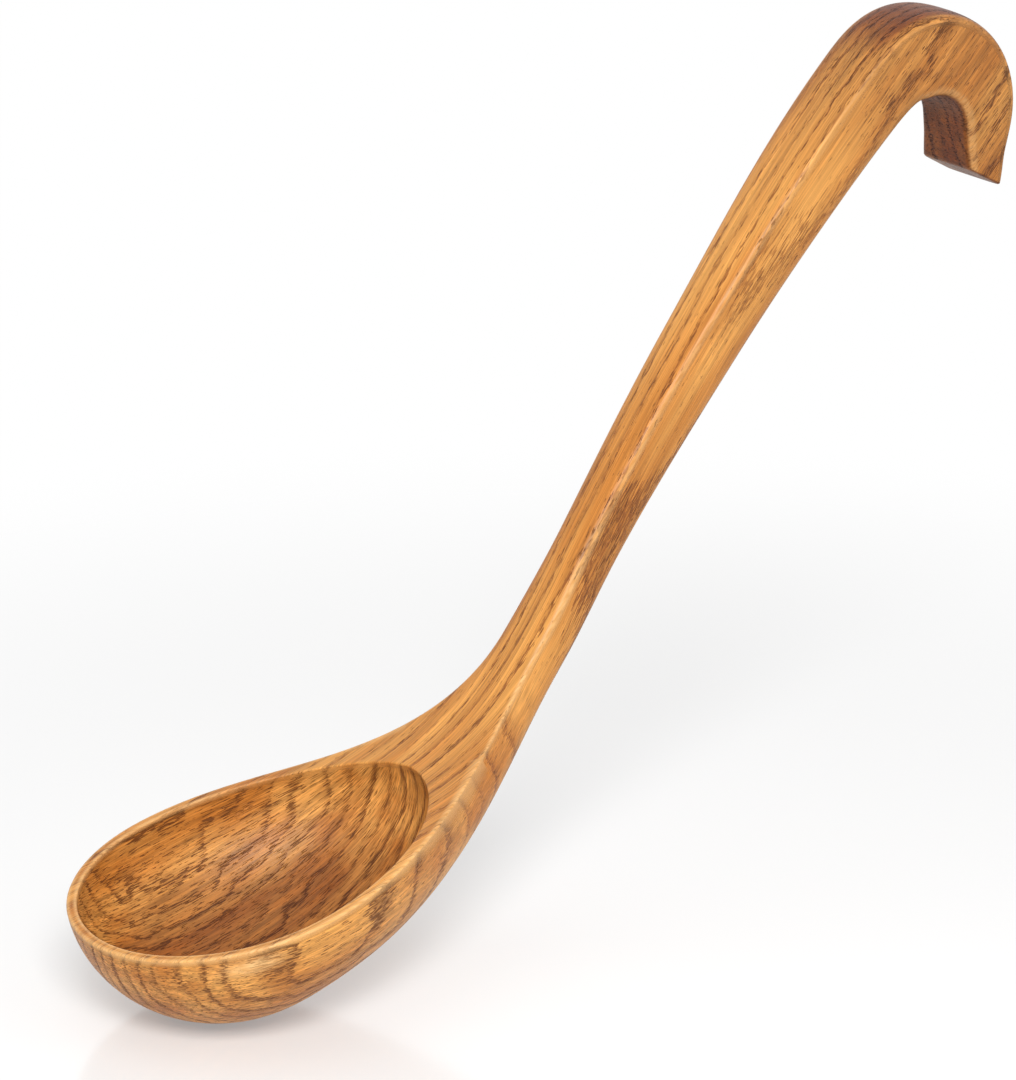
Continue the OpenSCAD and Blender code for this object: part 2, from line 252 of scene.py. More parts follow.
@dataclass
class LadleForm:
    """The carved form, in millimetres along the ladle's top line from the bowl's widest place."""

    seat_centre: Vector
    seat_r: float

    bowl_w: float = 87.4
    tip_len: float = 44.2
    bowl_depth: float = 36.0
    low_ahead: float = 6.0
    rim_w: float = 2.8
    floor_t: float = 4.0
    hollow_back: float = 60.0
    rim_tilt: float = 13.3
    outer_edge_r: float = 0.6
    inner_edge_r: float = 0.5
    join_behind: float = 12.0
    crown_ahead: float = 8.0
    edge_fade: float = 48.0

    rise_start: float = 20.5
    neck_r: float = 151.0
    neck_angle: float = 43.2
    neck_side_at: float = 107.0
    neck_w: float = 16.2
    neck_under_at: float = 100.0
    neck_t: float = 13.8

    slim_len: float = 64.0
    slim_bow: float = 4.8
    slim_w: float = 13.7
    slim_at: float = 140.0
    shoulder_len: float = 82.0
    shoulder_bow: float = 7.0
    shoulder_w: float = 15.7
    shoulder_t: float = 18.4
    slim_crown: float = 3.0
    hook_crown: float = 2.3

    hook_r: float = 28.9
    hook_angle: float = 150.2
    hook_in: float = 20.0
    hook_out: float = 10.0
    hook_w: float = 20.8
    hook_t: float = 21.1
    crown_more: float = 6.5
    crown_wall: float = 23.3
    seat_ahead: float = 0.8
    seat_soft: float = 1.5
    seat_edge_r: float = 2.7
    slot_lean: float = 5.0
    leg_len: float = 10.9
    leg_t: float = 19.0
    end_t: float = 15.0
    end_w: float = 21.8
    end_slant: float = 14.0

    # Superellipse forms of sections and outlines: 2 is round and more is boxier
    round_form: float = 2.0
    box_form: float = 4.1
    hook_form: float = 7.0
    top_form: float = 2.6
    hollow_back_form: float = 1.8
    hollow_form: float = 2.15

    least_w: float = 0.01
    track_step: float = 0.5
    track_spare: float = 4.0
    track: list[tuple[float, float, float]] = field(default_factory=list)

    def __post_init__(self) -> None:
        """Works out the places along the top line, its curves and where the form stands."""
        self.bowl_r = self.bowl_w / 2
        self.hollow_r = self.bowl_r - self.rim_w
        self.hollow_front = self.tip_len - self.rim_w
        self.hollow_depth = self.bowl_depth - self.floor_t
        self.neck_len = math.radians(self.neck_angle) * self.neck_r
        self.rise_end = self.rise_start + self.neck_len
        self.shoulder_at = self.rise_end + self.slim_len
        self.hook_at = self.shoulder_at + self.shoulder_len
        curve_len = math.radians(self.hook_angle) * self.hook_r
        self.hook_end = self.hook_at + (self.hook_in + self.hook_out) / 2 + curve_len
        self.leg_end = self.hook_end + self.leg_len
        rise = self.neck_angle - self.slim_bow - self.shoulder_bow + self.rim_tilt
        self.level_at = self.hook_at + self.hook_in / 2 + math.radians(rise) * self.hook_r
        self.join_at = self.hollow_back + self.join_behind
        crown_at = self.hollow_back - self.crown_ahead
        self.sides = Curve(
            (
                (self.neck_side_at, self.neck_w / 2),
                (self.slim_at, self.slim_w / 2),
                (self.shoulder_at, self.shoulder_w / 2),
                (self.hook_at, self.hook_w / 2),
                (self.hook_end, self.hook_w / 2),
                (self.leg_end, self.end_w / 2),
            )
        )
        self.depths = Curve(
            (
                (self.neck_under_at, self.neck_t),
                (self.shoulder_at, self.shoulder_t),
                (self.hook_at, self.hook_t),
                ((self.hook_at + self.hook_end) / 2, self.hook_t + self.crown_more),
                (self.hook_end, self.leg_t),
                (self.leg_end, self.end_t),
            )
        )
        self.crowns = Curve(
            (
                (crown_at, 0.0),
                (self.slim_at, self.slim_crown),
                (self.shoulder_at, self.hook_crown),
                (self.hook_end, self.hook_crown),
                (self.leg_end, self.hook_crown * 2 / 3),
            )
        )
        self.edges = Curve(((crown_at, self.outer_edge_r), (crown_at + self.edge_fade, 0.0)))
        self.shift = (0.0, 0.0)
        self.lay_track()
        top = self.lay(self.level_at, 0.0, 0.0)
        self.shift = (
            self.seat_centre.x - top.x - self.seat_ahead,
            self.seat_centre.z - top.z + self.crown_wall + self.seat_r,
        )

    def turn_rate(self, s: float) -> float:
        """Radians that the top line turns through in each millimetre at a place along it."""
        if self.rise_start < s < self.rise_end:
            wave = 1 - math.cos(2 * math.pi * (s - self.rise_start) / self.neck_len)
            return math.radians(self.neck_angle) / self.neck_len * wave
        if self.rise_end <= s < self.shoulder_at:
            return -math.radians(self.slim_bow) / self.slim_len
        if self.shoulder_at <= s < self.hook_at:
            ramp = (s - self.shoulder_at) / self.shoulder_len
            return -2 * math.radians(self.shoulder_bow) / self.shoulder_len * ramp
        if self.hook_at <= s < self.hook_end:
            tightens = ease((s - self.hook_at) / self.hook_in)
            return -tightens * ease((self.hook_end - s) / self.hook_out) / self.hook_r
        return 0.0

    def lay_track(self) -> None:
        """Follows the top line from the front tip to past the leg, in small straight steps."""
        x = -self.tip_len
        z = 0.0
        angle = 0.0
        count = math.ceil((self.leg_end + self.track_spare + self.tip_len) / self.track_step) + 2
        for i in range(count):
            self.track.append((x, z, angle))
            turn = self.turn_rate((i + 0.5) * self.track_step - self.tip_len) * self.track_step
            x += self.track_step * math.cos(angle + turn / 2)
            z += self.track_step * math.sin(angle + turn / 2)
            angle += turn

    def track_at(self, s: float) -> tuple[float, float, float]:
        """The top line's x, z and angle at a place along it, before the rim is tilted."""
        u = min(len(self.track) - 2.0, max(0.0, (s + self.tip_len) / self.track_step))
        i = int(u)
        a, b = self.track[i], self.track[i + 1]
        return tuple(p + (q - p) * (u - i) for p, q in zip(a, b))

    def tilted(self, x: float, z: float) -> tuple[float, float]:
        """A point of the middle plane once the rim is tilted to the table."""
        c = math.cos(math.radians(self.rim_tilt))
        s = math.sin(math.radians(self.rim_tilt))
        return (x * c - z * s, x * s + z * c)

    def lay(self, s: float, y: float, down: float) -> Vector:
        """A point of the wood.

        Args:
            s: Place along the top line.
            y: Distance to the left of the middle plane.
            down: Depth below the top line, square to it, or slanted towards the leg's end cut.

        Returns:
            The point in the frame's axes, in millimetres.
        """
        x, z, angle = self.track_at(s)
        share = min(1.0, max(0.0, (s - self.hook_end) / self.leg_len))
        angle -= math.radians(self.end_slant) * share
        x, z = self.tilted(x + down * math.sin(angle), z - down * math.cos(angle))
        return Vector((x + self.shift[0], y, z + self.shift[1]))

    def half_width(self, s: float) -> float:
        """Half the ladle's width at a place along the top line."""
        if s < 0:
            return self.bowl_r * math.sqrt(max(0.0, 1 - (s / self.tip_len) ** 2))
        if s < self.neck_side_at:
            return self.bowl_r + (self.neck_w / 2 - self.bowl_r) * ease(s / self.neck_side_at)
        return self.sides.at(s)

    def body(self, s: float) -> float:
        """Depth of the underside below the top line, before the seat and its slot are cut."""
        if s < -self.low_ahead:
            u = (s + self.low_ahead) / (self.tip_len - self.low_ahead)
            return self.bowl_depth * math.sqrt(max(0.0, 1 - u * u))
        if s < self.neck_under_at:
            u = (s + self.low_ahead) / (self.neck_under_at + self.low_ahead)
            return self.bowl_depth + (self.neck_t - self.bowl_depth) * ease(u)
        return self.depths.at(s)

    def to_seat(self, s: float) -> float:
        """Depth at which the hook's round seat, or its slot down the leg, is met.

        Args:
            s: Place along the top line.

        Returns:
            The depth below the top line, or a large one where neither is met.
        """
        far = 10 * self.hook_r
        if s < self.shoulder_at:
            return far
        top = self.lay(s, 0.0, 0.0)
        inward = self.lay(s, 0.0, 1.0) - top
        lean = math.radians(self.slot_lean)
        across = Vector((math.cos(lean), 0.0, math.sin(lean)))
        upward = Vector((-math.sin(lean), 0.0, math.cos(lean)))
        to_centre = self.seat_centre - top
        along = to_centre.dot(inward)
        miss = to_centre.length_squared - along * along
        if miss < self.seat_r**2:
            depth = along - math.sqrt(self.seat_r**2 - miss)
            if (top + inward * depth - self.seat_centre).dot(upward) >= 0:
                return depth
        if inward.dot(across) < 0:
            return (self.seat_r + to_centre.dot(across)) / inward.dot(across)
        return far

    def thickness(self, s: float) -> float:
        """Depth of the underside below the top line, in the middle plane."""
        return soft_min(self.body(s), self.to_seat(s), self.seat_soft)

    def boxiness(self, s: float) -> float:
        """Form of the section's underside, from round at the bowl to boxy at the hook."""
        neck = (self.box_form - self.round_form) * ease(s / self.neck_side_at)
        hook = (self.hook_form - self.box_form) * ease((s - self.shoulder_at) / self.shoulder_len)
        return self.round_form + neck + hook

    def ridge(self, s: float) -> float:
        """Depth of the side ridges below the top line."""
        return self.crowns.at(s) + self.edges.at(s)

    def edge_distance(self, s: float, y: float) -> float:
        """Distance of a point of the top face from the outline, seen from above."""
        if s >= 0:
            step = self.track_step
            slope = (self.half_width(s + step) - self.half_width(s)) / step
            return max(0.0, (self.half_width(s) - abs(y)) / math.hypot(1, slope))
        share = math.hypot(s / self.tip_len, y / self.bowl_r)
        return max(0.0, math.hypot(s, y) * (1 / share - 1)) if share > 0 else self.tip_len

    def over(self, s: float, y: float) -> float:
        """Depth of the top face below the top line, with its outer edge eased round."""
        w = self.half_width(s)
        crown = self.crowns.at(s) * (1 - rounded(y / w, self.top_form)) if w > self.least_w else 0.0
        radius = self.edges.at(s)
        gap = max(0.0, radius - self.edge_distance(s, y))
        return crown + radius - math.sqrt(radius**2 - gap**2)

    def under(self, s: float, y: float) -> float:
        """Depth of the bowl's outer face below the top line."""
        w = self.half_width(s)
        ridge = self.ridge(s)
        if w < self.least_w:
            return ridge
        return ridge + (self.body(s) - ridge) * rounded(y / w, self.boxiness(s))

    def under_path(self, s: float, count: int) -> Points:
        """The section's flanks and underside, with the seat's eased edges.

        Args:
            s: Place along the top line.
            count: How many steps the path takes.

        Returns:
            Sides and depths from the left ridge round to the right ridge.
        """
        w = self.half_width(s)
        ridge = self.ridge(s)
        power = 2 / self.boxiness(s)
        cut = self.to_seat(s)
        body = self.body(s)
        path = []
        for i in range(count + 1):
            a = math.pi * i / count
            y = w * signed_power(math.cos(a), power)
            gap = max(0.0, self.seat_edge_r - (w - abs(y)))
            eased = cut - self.seat_edge_r + math.sqrt(self.seat_edge_r**2 - gap**2)
            depth = ridge + (body - ridge) * abs(math.sin(a)) ** power
            path.append((y, max(ridge, soft_min(depth, eased, self.seat_soft))))
        return path

    def plank(self, s: float, y: float, down: float) -> Vector:
        """Where a point lies in the plank: along the fibres, across them and up.

        The fibres follow the bowl and the neck, and run on straight through the hook.
        """
        if s <= self.hook_at:
            return Vector((s, y, -down))
        start = self.lay(self.hook_at, 0.0, 0.0)
        up = start - self.lay(self.hook_at, 0.0, 1.0)
        along = Vector((up.z, 0.0, -up.x))
        gone = self.lay(s, 0.0, down) - start
        return Vector((self.hook_at + gone.dot(along), y, gone.dot(up)))


@dataclass
class Rings:
    """A mesh in the making: points, faces and what is marked on each point."""

    points: list[Vector] = field(default_factory=list)
    faces: list[tuple[int, ...]] = field(default_factory=list)
    marks: dict[Mark, list[Any]] = field(default_factory=lambda: {mark: [] for mark in Mark})

    def add(self, point: Vector, marks: dict[Mark, Any]) -> int:
        """Adds a point with its marks and returns its number."""
        self.points.append(point)
        for mark, values in self.marks.items():
            values.append(marks.get(mark, 0.0))
        return len(self.points) - 1

    def band(self, first: list[int], second: list[int]) -> None:
        """Joins two closed rings of as many points with quads."""
        n = len(first)
        for i in range(n):
            j = (i + 1) % n
            self.faces.append((first[i], first[j], second[j], second[i]))

    def fan(self, ring: list[int], pole: int) -> None:
        """Closes a ring to a single point."""
        n = len(ring)
        for i in range(n):
            self.faces.append((ring[i], ring[(i + 1) % n], pole))


@dataclass
class Ladle:
    """The carved ladle: one closed mesh from the bowl's tip to the end of the hook's leg.

    The frame's faces are coarser and cut its curves short by some hundredths of a millimetre, so
    every point is held inside room, the frame's own box in metres.
    """

    form: LadleForm
    room: tuple[Vector, Vector]
    name: str = "ladle_wood"

    # How finely each stretch is laid: numbers of points, and steps in millimetres
    rim_back_n: int = 44
    rim_front_n: int = 32
    over_n: int = 28
    under_n: int = 64
    path_n: int = 260
    path_bend: float = 3.0
    edge_n: int = 4
    flat_n: int = 5
    hollow_n: int = 40
    skin_n: int = 40
    back_angle: float = 14.0
    neck_step: float = 2.2
    handle_step: float = 3.0
    hook_step: float = 1.1
    hook_lead: float = 10.0
    end_edge_r: float = 0.7
    end_rings: tuple[float, ...] = (0.72, 0.45, 0.2)

    # The figure of each face: how fast it changes inward, and a layer of its own in the noise
    bowl_eye: float = 12.0
    bowl_turn: float = 42.0
    inward: float = 0.3
    hollow_inward: float = 0.1
    hollow_layer: float = 40.0
    flank_layer: float = 80.0
    end_layer: float = 120.0

    # Where the wood is pale with painted highlight and wear, cut across its fibres, given painted
    # shade, and darker on the hook
    ridge_band: Ramp = Ramp(-1.1, 0.0)
    ridge_drop: Ramp = Ramp(0.0, 1.2)
    handle_loss: Ramp = Ramp(-30.0, 10.0, 0.4)
    hook_loss: Ramp = Ramp(20.0, 70.0, 0.5)
    lip_drop: Ramp = Ramp(-0.6, 0.6)
    lip_band: Ramp = Ramp(0.0, 1.2)
    lip_start: Ramp = Ramp(0.0, 20.0)
    lip_highlight_and_wear: float = 0.7
    outer_loss: Ramp = Ramp(0.4, 1.3)
    inner_loss: Ramp = Ramp(0.4, 1.2)
    inner_end: Ramp = Ramp(15.0, 45.0)
    skin_loss: Ramp = Ramp(0.0, 0.3)
    # A pale patch on each cheek of the bowl, just below the rim: a painted highlight
    cheek_highlight_most: float = 1.7
    cheek_highlight_at: tuple[float, float] = (-21.0, 4.5)
    cheek_highlight_reach: tuple[float, float] = (6.0, 2.2)
    skin_cut_end: Ramp = Ramp(10.0, 70.0)
    hook_cut: Ramp = Ramp(-20.0, 10.0, 0.8)
    inner_face: Ramp = Ramp(-1.0, -0.2)
    inner_start: Ramp = Ramp(6.0, 20.0)
    # Painted shade: the hollow darker towards its floor
    hollow_painted_shade: Ramp = Ramp(10.0, 30.0, 0.8)
    # A darker hook, with painted shade on the top of its crown
    top_end: Ramp = Ramp(0.7, 1.0)
    crown_start: Ramp = Ramp(-4.0, 22.0)
    hook_darkening: Ramp = Ramp(-30.0, 10.0, 0.4)
    # Painted shade and a darker tint on the leg's end cut
    end_painted_shade: float = 0.7
    end_darkening: float = 0.5

    rings: Rings = field(default_factory=Rings)

    def put(self, s: float, y: float, down: float, flow: Flow, **marks: float) -> int:
        """Adds a point of the wood with its marks.

        Args:
            s: Place along the top line.
            y: Distance to the left of the middle plane.
            down: Depth below the top line.
            flow: Figure of the surface.
            marks: How pale the point is with painted highlight and wear, how much painted shade
            it gets and how much darker it is on the hook, and on the bowl how far the face
            is cut across the fibres. On the hook that is worked out.

        Returns:
            The point's number.
        """
        found = {Mark(name): value for name, value in marks.items()}
        found[Mark.CUT] = max(marks.get("cut", 0.0), self.hook_cut.at(s - self.form.hook_at))
        found[Mark.PLANK] = self.form.plank(s, y, down)
        found[Mark.FLOW] = flow(s, y, down)
        return self.rings.add(self.form.lay(s, y, down), found)

    def top_flow(self, s: float, y: float, down: float) -> Vector:
        """Figure of the top face: along the fibres and across the face."""
        place = self.form.plank(s, y, down)
        return Vector((place.x, y, place.z * self.inward))

    def hollow_flow(self, s: float, y: float, down: float) -> Vector:
        """Figure of the hollow: lines fan out from an eye over its front and its back."""
        angle = math.atan2(y, down + self.bowl_eye)
        layer = math.hypot(y, down) * self.hollow_inward + self.hollow_layer
        return Vector((s, self.bowl_turn * angle, layer))

    def flank_flow(self, s: float, y: float, down: float) -> Vector:
        """Figure of the outer face: lines follow the rim and the ridges."""
        form = self.form
        place = form.plank(s, y, down)
        layer = y * self.inward + self.flank_layer
        if s > form.hook_at:
            return Vector((place.x, place.z, layer))
        ridge = form.ridge(s)
        chord = math.hypot(form.half_width(s) - abs(y), down - ridge)
        return Vector((place.x, -chord - ridge, layer))

    def end_flow(self, s: float, y: float, down: float) -> Vector:
        """Figure of the leg's end cut, which is the same at any place s."""
        return Vector((down, y, self.end_layer))

    def outline(self) -> Points:
        """The rim's outer edge, from the join's left round the front tip to its right."""
        form = self.form
        left = []
        for i in range(self.rim_back_n):
            s = form.join_at * (1 - i / self.rim_back_n)
            left.append((s, form.half_width(s)))
        for i in range(self.rim_front_n + 1):
            a = math.pi / 2 * i / self.rim_front_n
            left.append((-form.tip_len * math.sin(a), form.bowl_r * math.cos(a)))
        left[-1] = (-form.tip_len, 0.0)
        return left + [(s, -y) for s, y in reversed(left[:-1])]

    def hollow_edge(self, degrees: float) -> tuple[float, float]:
        """The hollow's edge at an angle from the front tip, round by the left to the back."""
        form = self.form
        c = math.cos(math.radians(degrees))
        s = math.sin(math.radians(degrees))
        if c >= 0:
            return (-form.hollow_front * c, form.hollow_r * s)
        side = math.copysign(form.hollow_r * rounded(c, form.hollow_back_form), s)
        return (-form.hollow_back * c, side)

    def inner_edge(self, outline_n: int, join_n: int) -> Points:
        """Points of the hollow's edge that face the outline's points and the join's."""
        angles = []
        for i in range((outline_n + 1) // 2):
            if i < self.rim_back_n:
                span = 90 - self.back_angle
                angles.append(180 - self.back_angle - span * i / self.rim_back_n)
            else:
                angles.append(90 * (1 - (i - self.rim_back_n) / self.rim_front_n))
        angles += [-a for a in reversed(angles[:-1])]
        for i in range(join_n):
            angles.append(180 + self.back_angle * (1 - 2 * (i + 1) / (join_n + 1)))
        return [self.hollow_edge(a) for a in angles]

    def section(self, s: float) -> tuple[Points, Points]:
        """The section at a place, as sides and depths of its top face and of its underside.

        Args:
            s: Place along the top line.

        Returns:
            The top face's points from right to left with both ridges, and the underside's
            from left to right without them.
        """
        form = self.form
        w = form.half_width(s)
        power = 2 / form.top_form
        over = []
        for i in range(self.over_n + 1):
            y = w * signed_power(math.cos(math.pi * (1 - i / self.over_n)), power)
            over.append((y, form.over(s, y)))
        path = form.under_path(s, self.path_n)
        return over, spaced(path, self.under_n - 1, self.path_bend)

    def ridge_highlight_and_wear(self, s: float, side: float, depth: float) -> float:
        """Painted highlight and wear on the neck, handle or hook: most on its ridges and its lip."""
        form = self.form
        inset = side - form.half_width(s)
        near_ridge = self.ridge_band.at(inset) * (1 - self.ridge_drop.at(depth - form.ridge(s)))
        near_ridge *= 1 - self.handle_loss.at(s - form.slim_at)
        near_ridge *= 1 - self.hook_loss.at(s - form.shoulder_at)
        near_lip = self.lip_drop.at(depth - form.thickness(s) + form.seat_edge_r)
        near_lip *= self.lip_band.at(inset + form.seat_edge_r) * self.lip_start.at(s - form.hook_at)
        return max(near_ridge, self.lip_highlight_and_wear * near_lip)

    def rim_highlight_and_wear(self, s: float, y: float, from_hollow: float) -> float:
        """Painted highlight and wear on the flat rim: most within a millimetre of its two edges."""
        on_edge = 1 - self.outer_loss.at(self.form.edge_distance(s, y))
        by_hollow = 1 - self.inner_loss.at(from_hollow)
        return max(on_edge, by_hollow * (1 - self.inner_end.at(s)))

    def build_bowl(self) -> list[int]:
        """Lays the bowl's top face, hollow and outer face, and returns the join's ring."""
        form = self.form
        rim = self.outline()
        join_over, join_under = self.section(form.join_at)
        top_edge = rim + [(form.join_at, y) for y, _ in join_over[1:-1]]
        inner = self.inner_edge(len(rim), len(join_over) - 2)
        first = []
        for s, y in top_edge:
            depth = form.over(s, y)
            # Pale rim edges: painted highlight and wear
            highlight_and_wear = self.rim_highlight_and_wear(s, y, form.tip_len)
            first.append(self.put(s, y, depth, self.top_flow, worn=highlight_and_wear))
        last = self.build_top(first, top_edge, inner)
        self.build_hollow(last, inner)
        s = form.join_at
        # The join's ridges are pale too: painted highlight and wear
        under_ids = [
            self.put(s, y, depth, self.flank_flow, worn=self.ridge_highlight_and_wear(s, abs(y), depth))
            for y, depth in reversed(join_under)
        ]
        low_ring = first[: len(rim)] + under_ids
        low_edge = rim + [(form.join_at, y) for y, _ in reversed(join_under)]
        self.build_skin(low_ring, low_edge)
        left, right = first[0], first[len(rim) - 1]
        return [right] + first[len(rim) :] + [left] + under_ids[::-1]

    def build_top(
        self, first: list[int], outer: Points, inner: Points
    ) -> list[int]:
        """Lays the rim's eased edges and the flat behind the hollow.

        Args:
            first: The outer edge's point numbers.
            outer: The outer edge's places and sides.
            inner: The hollow's edge, point for point.

        Returns:
            The point numbers of the hollow's edge.
        """
        form = self.form
        turns = [math.pi / 2 * i / self.edge_n for i in range(self.edge_n + 1)]
        rows = [(form.outer_edge_r * (1 - math.cos(a)), 0.0, 0.0) for a in turns[1:]]
        rows += [(form.outer_edge_r, i / self.flat_n, 0.0) for i in range(1, self.flat_n)]
        for a in turns:
            drop = form.inner_edge_r * (1 - math.cos(a))
            rows.append((-form.inner_edge_r * (1 - math.sin(a)), 0.0, drop))
        ring = first
        for step, share, drop in rows:
            new = []
            for (s0, y0), (s1, y1) in zip(outer, inner):
                span = math.hypot(s1 - s0, y1 - y0)
                if share > 0:
                    run = step + share * (span - form.outer_edge_r - form.inner_edge_r)
                elif step > 0:
                    run = step
                else:
                    run = span + step
                s = s0 + (s1 - s0) * run / span
                y = y0 + (y1 - y0) * run / span
                # Pale rim edges: painted highlight and wear
                highlight_and_wear = self.rim_highlight_and_wear(s, y, span - run)
                depth = form.over(s, y) + drop
                new.append(self.put(s, y, depth, self.top_flow, worn=highlight_and_wear))
            self.rings.band(ring, new)
            ring = new
        return ring

    def build_hollow(self, edge: list[int], inner: Points) -> None:
        """Lays the hollow from its edge down to its floor, darker there with painted shade."""
        form = self.form
        low = -form.low_ahead / 2
        ring = edge
        for j in range(1, self.hollow_n):
            reach = math.sin(math.pi / 2 * (1 - j / self.hollow_n))
            drop = form.hollow_depth * rounded(reach, form.hollow_form)
            # Painted shade, darker towards the hollow's floor
            depth_painted_shade = self.hollow_painted_shade.at(drop)
            new = []
            for s0, y0 in inner:
                s = low + (s0 - low) * reach
                y = y0 * reach
                depth = form.over(s0, y0) * reach + drop
                new.append(self.put(s, y, depth, self.hollow_flow, sheltered=depth_painted_shade, cut=1.0))
            self.rings.band(ring, new)
            ring = new
        depth = form.hollow_depth
        depth_painted_shade = self.hollow_painted_shade.at(depth)
        pole = self.put(low, 0.0, depth, self.hollow_flow, sheltered=depth_painted_shade, cut=1.0)
        self.rings.fan(ring, pole)

    def paleness(self, s: float, depth: float) -> float:
        """A painted highlight on the bowl's cheeks, just below the rim: how pale a point is."""
        along, down = ((v - at) / r for v, at, r in zip((s, depth), self.cheek_highlight_at, self.cheek_highlight_reach))
        return self.cheek_highlight_most * math.exp(-(along**2) - down**2)

    def build_skin(self, edge: list[int], outer: Points) -> None:
        """Lays the bowl's outer face from its rim and the join to its lowest point."""
        form = self.form
        low = -form.low_ahead
        ring = edge
        for j in range(1, self.skin_n):
            reach = math.sin(math.pi / 2 * (1 - j / self.skin_n))
            new = []
            for s0, y0 in outer:
                s = low + (s0 - low) * reach
                y = y0 * reach
                depth = form.under(s, y)
                # Pale rim edge (painted highlight and wear), and a painted highlight on each cheek
                highlight_and_wear = max(1 - self.skin_loss.at(depth - form.ridge(s)), self.paleness(s, depth))
                cut = 1 - self.skin_cut_end.at(s)
                new.append(self.put(s, y, depth, self.flank_flow, worn=highlight_and_wear, cut=cut))
            self.rings.band(new, ring)
            ring = new
        depth = form.bowl_depth
        pole = self.put(low, 0.0, depth, self.flank_flow, cut=1.0)
        self.rings.fan(ring[::-1], pole)

    def places(self) -> list[float]:
        """Places of the sections after the join, close together where the form bends."""
        form = self.form
        bends_at = form.hook_at - self.hook_lead
        found = []
        for start, end, step in (
            (form.join_at, form.slim_at, self.neck_step),
            (form.slim_at, bends_at, self.handle_step),
            (bends_at, form.leg_end - self.end_edge_r, self.hook_step),
        ):
            n = math.ceil((end - start) / step)
            found += [start + (end - start) * i / n for i in range(1, n + 1)]
        return found

    def sheltered(self, s: float, depth: float) -> float:
        """How much painted shade a point gets: full on the inner face of the hook."""
        deep = self.inner_face.at(depth - self.form.thickness(s))
        return deep * self.inner_start.at(s - self.form.hook_at)

    def handled(self, s: float, side: float, depth: float) -> float:
        """How much darker a point is: on the hook, and most, as painted shade, on top of its crown."""
        form = self.form
        around = self.hook_darkening.at(s - form.hook_at)
        if depth > form.ridge(s):
            return around
        on_top = 1 - self.top_end.at(side / form.half_width(s))
        return max(around, on_top * self.crown_start.at(s - form.hook_at))

    def build_handle(self, join: list[int]) -> None:
        """Lays the neck, handle, hook and leg, section by section, and closes the leg's end."""
        ring = join
        for s in self.places():
            over, under = self.section(s)
            new = []
            for i, (y, depth) in enumerate(over + under):
                on_top = i < len(over)
                flow = self.top_flow if on_top else self.flank_flow
                # Pale ridges and lip: painted highlight and wear
                new.append(
                    self.put(
                        s, y, depth, flow, worn=self.ridge_highlight_and_wear(s, abs(y), depth),
                        # Painted shade on the hook's inner face
                        sheltered=0.0 if on_top else self.sheltered(s, depth),
                        # A darker hook, with painted shade on the top of its crown
                        handled=self.handled(s, abs(y), depth),
                    )
                )
            self.rings.band(ring, new)
            ring = new
        self.close_leg(ring)

    def close_leg(self, ring: list[int]) -> None:
        """Eases the edge of the leg's slanted end and closes it."""
        form = self.form
        s = form.leg_end
        over, under = self.section(s)
        half_w = form.half_width(s)
        half_t = form.thickness(s) / 2
        # The end cut gets painted shade and a darker tint
        marks = {"sheltered": self.end_painted_shade, "handled": self.end_darkening}
        rows = []
        for i in range(1, self.edge_n + 1):
            a = math.pi / 2 * i / self.edge_n
            rows.append((s - self.end_edge_r * (1 - math.sin(a)), self.end_edge_r * (1 - math.cos(a))))
        rows += [(s, half_t * (1 - share)) for share in self.end_rings]
        for place, inset in rows:
            new = []
            for y, depth in over + under:
                side = y * (1 - inset / (half_w if inset <= self.end_edge_r else half_t))
                down = half_t + (depth - half_t) * (1 - inset / half_t)
                new.append(self.put(place, side, down, self.end_flow, **marks))
            self.rings.band(ring, new)
            ring = new
        self.rings.fan(ring, self.put(s, 0.0, half_t, self.end_flow, **marks))

    def build(self) -> bpy.types.Object:
        """Makes the ladle's object, in metres.

        Returns:
            The object, linked to the scene, with its marks set and its faces smooth.
        """
        self.build_handle(self.build_bowl())
        low, high = self.room
        points = [
            tuple(min(high[i], max(low[i], p[i] * MM)) for i in range(3)) for p in self.rings.points
        ]
        mesh = bpy.data.meshes.new(self.name)
        mesh.from_pydata(points, [], self.rings.faces)
        for mark, values in self.rings.marks.items():
            if mark in (Mark.PLANK, Mark.FLOW):
                attribute = mesh.attributes.new(mark.value, "FLOAT_VECTOR", "POINT")
                attribute.data.foreach_set("vector", [v for point in values for v in point])
            else:
                attribute = mesh.attributes.new(mark.value, "FLOAT", "POINT")
                attribute.data.foreach_set("value", values)
        shell = bmesh.new()
        shell.from_mesh(mesh)
        bmesh.ops.recalc_face_normals(shell, faces=shell.faces)
        shell.to_mesh(mesh)
        shell.free()
        mesh.shade_smooth()
        return add_object(self.name, mesh)


@dataclass(frozen=True)
class Cells:
    """A noise's cells, in millimetres along and across the fibres.

    Between low and high the noise does its work: it moves a ring by up to half of reach
    millimetres, or makes a colour darker or lighter by that share.
    """

    along: float
    across: float
    detail: float = 2.0
    turn: float = 0.0
    low: float = 0.3
    high: float = 0.7
    reach: float = 0.0


